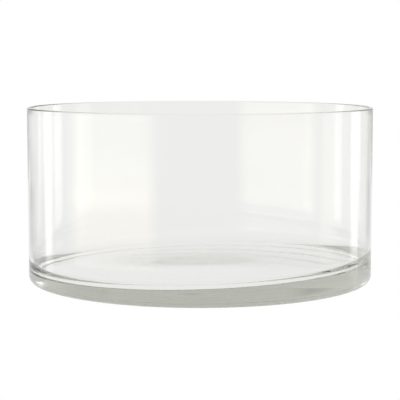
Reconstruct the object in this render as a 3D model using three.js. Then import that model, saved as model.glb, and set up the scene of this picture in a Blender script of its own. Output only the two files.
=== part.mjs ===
// A crystallizing dish: one piece of clear glass, straight-sided, with a heavy base and a plain rim.
// Millimetres, +Z up. The origin is the middle of the circle that the dish stands on.
import * as THREE from "three";

// Driving dimensions.
const OUTER_DIAMETER = 250;
const HEIGHT = 126;
const WALL = 3; // thickness of the upright wall
const BASE = 11.2; // thickness of the base at the middle of the floor, before the punt is taken off
const FLOOR_SLOPE = 0.031; // the floor lies askew, and rises by this much for each millimetre along +X
const FOOT_EDGE_RADIUS = 5; // outside, where the wall turns under the base
const INNER_CORNER_RADIUS = 9.5; // inside, where the wall meets the floor
const RIM_EDGE_RADIUS = 1; // both edges of the rim are rounded over
const PUNT_RADIUS = 54; // the underside is pushed up inside this circle, so the dish stands on a flat ring
const PUNT_HEIGHT = 0.6; // how far the middle of the underside is pushed up

// Fineness of the mesh.
const SEGMENTS_ROUND = 96;
const PUNT_STEPS = 8;
const ARC_DIVISIONS = 3; // a path's arc has twice this many steps

const OUTER_RADIUS = OUTER_DIAMETER / 2;
const INNER_RADIUS = OUTER_RADIUS - WALL;
const CLOSE = 0.001; // two measurements nearer than this are the same

// The half section of the glass with its floor level, as radius and height: along the underside from the middle, up
// the outside, over the rim, down the inside and back to the middle of the floor.
function glassSection() {
  const section = new THREE.Path();
  addPunt(section);
  addFootEdge(section);
  addRim(section);
  addInnerCorner(section);
  section.lineTo(0, BASE);
  return section.getPoints(ARC_DIVISIONS);
}

// The underside swells up without a crease: half a cosine wave from the middle out to the edge of the punt.
function addPunt(section) {
  section.moveTo(0, PUNT_HEIGHT);
  for (let step = 1; step <= PUNT_STEPS; step++) {
    const fraction = step / PUNT_STEPS;
    const height = (PUNT_HEIGHT / 2) * (1 + Math.cos(Math.PI * fraction));
    section.lineTo(PUNT_RADIUS * fraction, height);
  }
}

function addFootEdge(section) {
  section.absarc(
    OUTER_RADIUS - FOOT_EDGE_RADIUS,
    FOOT_EDGE_RADIUS,
    FOOT_EDGE_RADIUS,
    -Math.PI / 2,
    0,
    false,
  );
}

// The rim keeps a narrow flat between its two rounded edges, which a cover glass rests on.
function addRim(section) {
  const edgeHeight = HEIGHT - RIM_EDGE_RADIUS;
  section.absarc(OUTER_RADIUS - RIM_EDGE_RADIUS, edgeHeight, RIM_EDGE_RADIUS, 0, Math.PI / 2, false);
  section.absarc(INNER_RADIUS + RIM_EDGE_RADIUS, edgeHeight, RIM_EDGE_RADIUS, Math.PI / 2, Math.PI, false);
}

function addInnerCorner(section) {
  section.absarc(
    INNER_RADIUS - INNER_CORNER_RADIUS,
    BASE + INNER_CORNER_RADIUS,
    INNER_CORNER_RADIUS,
    0,
    -Math.PI / 2,
    true,
  );
}

// Tips the floor, with the rounded corner round it, out of level. Nothing else moves.
function tipFloor(geometry) {
  const points = geometry.attributes.position;
  for (let i = 0; i < points.count; i++) {
    const x = points.getX(i);
    const z = points.getZ(i);
    const inside = Math.hypot(x, points.getY(i)) < INNER_RADIUS + CLOSE;
    if (inside && z > BASE - CLOSE && z < BASE + INNER_CORNER_RADIUS + CLOSE) {
      points.setZ(i, z + FLOOR_SLOPE * x);
    }
  }
}

function glassMaterial() {
  return new THREE.MeshStandardMaterial({
    color: 0xdfe5dd,
    roughness: 0.03,
    metalness: 0,
    transparent: true,
    opacity: 0.35,
  });
}

function glassDish() {
  const turned = new THREE.LatheGeometry(glassSection(), SEGMENTS_ROUND);
  turned.rotateX(Math.PI / 2); // from the lathe's own Y axis to Z up
  tipFloor(turned);
  const dish = new THREE.Mesh(turned, glassMaterial());
  dish.name = "glass_dish";
  return dish;
}

const part = new THREE.Group();
part.add(glassDish());

export default part;
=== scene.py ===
"""A crystallizing dish of clear glass on white, lit from all round by a pale studio."""

import math

import bpy
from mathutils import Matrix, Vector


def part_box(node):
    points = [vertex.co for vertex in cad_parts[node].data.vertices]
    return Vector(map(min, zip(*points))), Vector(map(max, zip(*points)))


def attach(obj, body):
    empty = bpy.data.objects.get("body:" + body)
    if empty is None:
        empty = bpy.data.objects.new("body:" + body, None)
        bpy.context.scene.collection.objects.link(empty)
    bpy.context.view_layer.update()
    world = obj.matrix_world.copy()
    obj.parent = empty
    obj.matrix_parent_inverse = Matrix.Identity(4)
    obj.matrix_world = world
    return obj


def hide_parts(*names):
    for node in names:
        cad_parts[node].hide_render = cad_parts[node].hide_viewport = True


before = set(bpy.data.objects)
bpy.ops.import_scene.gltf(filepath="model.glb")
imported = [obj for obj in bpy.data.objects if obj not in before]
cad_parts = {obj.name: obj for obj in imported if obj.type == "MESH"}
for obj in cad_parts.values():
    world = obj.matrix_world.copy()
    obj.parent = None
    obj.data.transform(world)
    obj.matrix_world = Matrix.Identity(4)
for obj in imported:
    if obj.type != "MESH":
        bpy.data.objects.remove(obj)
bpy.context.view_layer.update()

# The dish, in metres. Its radius and height come from the frame.
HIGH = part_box("glass_dish")[1]
RADIUS = HIGH.x
HEIGHT = HIGH.z
WALL = 0.003
BASE = 0.0112
FLOOR_SLOPE = 0.031
FOOT_EDGE = 0.005
INNER_CORNER = 0.0095
RIM_EDGE = 0.001
PUNT_RADIUS = 0.054
PUNT_HEIGHT = 0.0006

# The inside of the wall is very slightly wavy. Waves round the dish, waves up the wall, and depth in metres.
WALL_WAVES = [(5, 1.3, 0.000008), (9, 2.1, 0.000004)]

TURNS = 360  # steps round the dish
ARC_STEPS = 16  # steps in each rounded edge
PUNT_STEPS = 48  # steps from the middle of the punt to its edge
WALL_STEPS = 24  # steps down the inside of the wall
CLOSE = 0.000001  # two measurements nearer than this are the same

# The glass.
GLASS_IOR = 1.5
TINT_COLOUR = (0.93, 0.9315, 0.921, 1)
TINT_DENSITY = 36.0

# Light bounces many times inside thick glass before it gets out.
MOST_BOUNCES = 64
GLASS_BOUNCES = 48

STAGE_SIZE = 4  # the white floor's sides, in metres
STAGE_GAP = 0.001  # the white floor lies this far under the dish

# The camera looks along +Y and down. Its distances are in radii of the dish, its pitch is in radians, and its lens
# is in millimetres.
CAMERA_BACK = 7.93
CAMERA_UP = 1.314
CAMERA_PITCH = 0.1071
CAMERA_LENS = 122.4

# The studio, as the dish sees it. Azimuth 0 is straight behind the dish and 90 is +X. Angles are in degrees.
STUDIO_COLOUR = (0.86, 0.863, 0.848)
# Each light: the azimuths from and to, and the width of its soft ends. Then the same for its elevations. Last, the
# red, green and blue that it adds to the studio. A dark card takes light away.
LIGHTS = [
    # The upright highlights at both sides: a bright core, and a fainter glow higher up.
    ((-64, -59, 4), (-8.5, 5, 3), (1.1, 1.1, 1.1)),
    ((-76, -50, 6), (-4, 5, 3), (0.4, 0.4, 0.4)),
    ((54, 60, 4), (-8.5, 5, 3), (0.9, 0.9, 0.9)),
    ((51, 62, 4), (-4, 5, 3), (0.3, 0.3, 0.3)),
    # The pale panels between the highlights and the middle. The left one is warm, and turns peach low down.
    ((-94, -86, 7), (-6, 5, 2), (0.4, 0.4, 0.33)),
    ((83, 92, 5), (-7, 5, 2), (0.5, 0.5, 0.4)),
    ((-143, -97, 12), (-5.5, 5, 1.5), (0.95, 0.95, 0.8)),
    ((-143, -97, 12), (-8, -6.2, 1.5), (1.0, 0.78, 0.5)),
    ((97, 143, 12), (-8, 5, 2), (0.06, 0.06, 0.03)),
    # The dark cards that give the sides of the glass a grey edge, lower down most.
    ((-36, -26, 9), (-8, -5.8, 0.8), (-0.22, -0.22, -0.22)),
    ((26, 32, 9), (-7.6, -5.5, 0.8), (-0.2, -0.2, -0.2)),
    ((26, 32, 9), (-4.7, 5, 0.8), (-0.05, -0.05, -0.05)),
]


def arc(centre_r, centre_z, radius, start_deg, end_deg):
    """Points on a circular arc in the section plane, both ends included."""
    points = []
    for i in range(ARC_STEPS + 1):
        a = math.radians(start_deg + (end_deg - start_deg) * i / ARC_STEPS)
        points.append((centre_r + radius * math.cos(a), centre_z + radius * math.sin(a)))
    return points


def punt():
    """The push-up under the base, from the point beside its middle out to its edge: half a cosine wave."""
    points = []
    for i in range(1, PUNT_STEPS + 1):
        fraction = i / PUNT_STEPS
        points.append((PUNT_RADIUS * fraction, PUNT_HEIGHT / 2 * (1 + math.cos(math.pi * fraction))))
    return points


def inside_wall():
    """Points down the straight inside of the wall, between its two rounded ends."""
    top = HEIGHT - RIM_EDGE
    bottom = BASE + INNER_CORNER
    return [(RADIUS - WALL, top + (bottom - top) * i / WALL_STEPS) for i in range(1, WALL_STEPS)]


def glass_section():
    """The half section of the glass without its two points on the axis, from the underside round to the floor."""
    inner = RADIUS - WALL
    section = punt()
    section += arc(RADIUS - FOOT_EDGE, FOOT_EDGE, FOOT_EDGE, -90, 0)
    section += arc(RADIUS - RIM_EDGE, HEIGHT - RIM_EDGE, RIM_EDGE, 0, 90)
    section += arc(inner + RIM_EDGE, HEIGHT - RIM_EDGE, RIM_EDGE, 90, 180)
    section += inside_wall()
    section += arc(inner - INNER_CORNER, BASE + INNER_CORNER, INNER_CORNER, 0, -90)
    return section


def waviness(r, z, turn):
    """How far the glass stands in from a true circle. Only the straight inside of the wall is wavy."""
    bottom = BASE + INNER_CORNER
    up = (z - bottom) / (HEIGHT - RIM_EDGE - bottom)
    if abs(r - RADIUS + WALL) > CLOSE or up <= 0 or up >= 1:
        return 0
    total = 0
    for round_waves, up_waves, depth in WALL_WAVES:
        total += depth * math.sin(round_waves * turn + 2 * math.pi * up_waves * up)
    return total * math.sin(math.pi * up)


def tip(r, z, x):
    """How far the floor and its rounded corner rise at x, because they lie askew."""
    inside = r < RADIUS - WALL + CLOSE
    low = BASE - CLOSE < z < BASE + INNER_CORNER + CLOSE
    return FLOOR_SLOPE * x if inside and low else 0


def turned_mesh(name):
    """Turns the section about the Z axis and closes it with one point at the middle of the underside and floor."""
    section = glass_section()
    vertices = [(0, 0, PUNT_HEIGHT), (0, 0, BASE)]
    for step in range(TURNS):
        turn = 2 * math.pi * step / TURNS
        for r, z in section:
            radius = r - waviness(r, z, turn)
            x = radius * math.cos(turn)
            vertices.append((x, radius * math.sin(turn), z + tip(r, z, x)))
    count = len(section)
    faces = []
    for step in range(TURNS):
        this = 2 + step * count
        following = 2 + (step + 1) % TURNS * count
        faces.append((0, following, this))
        faces.append((1, this + count - 1, following + count - 1))
        for i in range(count - 1):
            faces.append((this + i, following + i, following + i + 1, this + i + 1))
    mesh = bpy.data.meshes.new(name)
    mesh.from_pydata(vertices, [], faces)
    mesh.shade_smooth()
    return mesh


def glass_material():
    material = bpy.data.materials.new("clear_glass")
    material.use_nodes = True
    nodes = material.node_tree.nodes
    shader = nodes["Principled BSDF"]
    shader.inputs["Base Color"].default_value = (1, 1, 1, 1)
    shader.inputs["Roughness"].default_value = 0.0
    shader.inputs["IOR"].default_value = GLASS_IOR
    shader.inputs["Transmission Weight"].default_value = 1.0
    absorption = nodes.new("ShaderNodeVolumeAbsorption")
    absorption.inputs["Color"].default_value = TINT_COLOUR
    absorption.inputs["Density"].default_value = TINT_DENSITY
    output = nodes["Material Output"]
    material.node_tree.links.new(absorption.outputs["Volume"], output.inputs["Volume"])
    return material


def glass_dish():
    mesh = turned_mesh("glass_dish_fine")
    dish = bpy.data.objects.new("glass_dish_fine", mesh)
    bpy.context.scene.collection.objects.link(dish)
    mesh.materials.append(glass_material())
    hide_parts("glass_dish")
    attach(dish, "root")


def math_node(tree, operation, *values):
    """A math node, with each value a number or the output of another node. Gives its output."""
    node = tree.nodes.new("ShaderNodeMath")
    node.operation = operation
    for i, value in enumerate(values):
        if isinstance(value, (int, float)):
            node.inputs[i].default_value = value
        else:
            tree.links.new(value, node.inputs[i])
    return node.outputs[0]


def soft_step(tree, value, start, end):
    """0 before start and 1 past end, with a soft change between them. Start may be above end."""
    node = tree.nodes.new("ShaderNodeMapRange")
    node.interpolation_type = "SMOOTHSTEP"
    tree.links.new(value, node.inputs["Value"])
    rising = start < end
    node.inputs["From Min"].default_value = start if rising else end
    node.inputs["From Max"].default_value = end if rising else start
    node.inputs["To Min"].default_value = 0 if rising else 1
    node.inputs["To Max"].default_value = 1 if rising else 0
    return node.outputs["Result"]


def soft_window(tree, value, low, high, edge):
    """1 from low to high, fading to 0 over the edge on both sides."""
    above = soft_step(tree, value, low - edge, low)
    below = soft_step(tree, value, high + edge, high)
    return math_node(tree, "MULTIPLY", above, below)


def add_light(tree, total, amount, colour):
    """The light so far, with amount times a colour added to it."""
    node = tree.nodes.new("ShaderNodeVectorMath")
    node.operation = "MULTIPLY_ADD"
    tree.links.new(amount, node.inputs[0])
    node.inputs[1].default_value = colour
    tree.links.new(total, node.inputs[2])
    return node.outputs[0]


def studio_light(tree):
    """The colour and brightness of the studio in each direction, as the dish sees it."""
    direction = tree.nodes.new("ShaderNodeTexCoord").outputs["Generated"]
    parts = tree.nodes.new("ShaderNodeSeparateXYZ")
    tree.links.new(direction, parts.inputs[0])
    x, y, z = parts.outputs
    azimuth = math_node(tree, "DEGREES", math_node(tree, "ARCTAN2", x, y))
    elevation = math_node(tree, "DEGREES", math_node(tree, "ARCSINE", z))
    even = tree.nodes.new("ShaderNodeCombineXYZ")
    for channel, brightness in zip(even.inputs, STUDIO_COLOUR):
        channel.default_value = brightness
    total = even.outputs[0]
    for azimuths, elevations, colour in LIGHTS:
        across = soft_window(tree, azimuth, *azimuths)
        upward = soft_window(tree, elevation, *elevations)
        total = add_light(tree, total, math_node(tree, "MULTIPLY", across, upward), colour)
    return total


def white_floor():
    """The white floor that the dish stands on. The dish sees the studio through it."""
    material = bpy.data.materials.new("white_floor")
    material.use_nodes = True
    tree = material.node_tree
    tree.nodes.remove(tree.nodes["Principled BSDF"])
    white = tree.nodes.new("ShaderNodeEmission")
    white.inputs["Color"].default_value = (1, 1, 1, 1)
    tree.links.new(white.outputs["Emission"], tree.nodes["Material Output"].inputs["Surface"])
    bpy.ops.mesh.primitive_plane_add(size=STAGE_SIZE, location=(0, 0, -STAGE_GAP))
    floor = bpy.context.object
    floor.name = "floor"
    floor.data.materials.append(material)
    floor.visible_glossy = False
    floor.visible_transmission = False


def studio_world():
    """Pale light from all round. The camera itself sees plain white behind the dish."""
    world = bpy.data.worlds.new("studio")
    bpy.context.scene.world = world
    world.use_nodes = True
    tree = world.node_tree
    around = tree.nodes["Background"]
    tree.links.new(studio_light(tree), around.inputs["Color"])
    white = tree.nodes.new("ShaderNodeBackground")
    white.inputs["Color"].default_value = (1, 1, 1, 1)
    seen = tree.nodes.new("ShaderNodeLightPath")
    mix = tree.nodes.new("ShaderNodeMixShader")
    tree.links.new(seen.outputs["Is Camera Ray"], mix.inputs["Fac"])
    tree.links.new(around.outputs["Background"], mix.inputs[1])
    tree.links.new(white.outputs["Background"], mix.inputs[2])
    tree.links.new(mix.outputs["Shader"], tree.nodes["World Output"].inputs["Surface"])


def light_paths():
    """A reflection inside the glass counts as glossy, so it gets as many bounces as transmission does."""
    cycles = bpy.context.scene.cycles
    cycles.max_bounces = MOST_BOUNCES
    cycles.glossy_bounces = GLASS_BOUNCES
    cycles.transmission_bounces = GLASS_BOUNCES


def camera():
    data = bpy.data.cameras.new("camera")
    data.lens = CAMERA_LENS
    camera_object = bpy.data.objects.new("camera", data)
    bpy.context.scene.collection.objects.link(camera_object)
    camera_object.location = (0, -CAMERA_BACK * RADIUS, CAMERA_UP * RADIUS)
    camera_object.rotation_euler = (math.pi / 2 - CAMERA_PITCH, 0, 0)
    bpy.context.scene.camera = camera_object


glass_dish()
white_floor()
studio_world()
light_paths()
camera()
bpy.context.scene.view_settings.view_transform = "Standard"
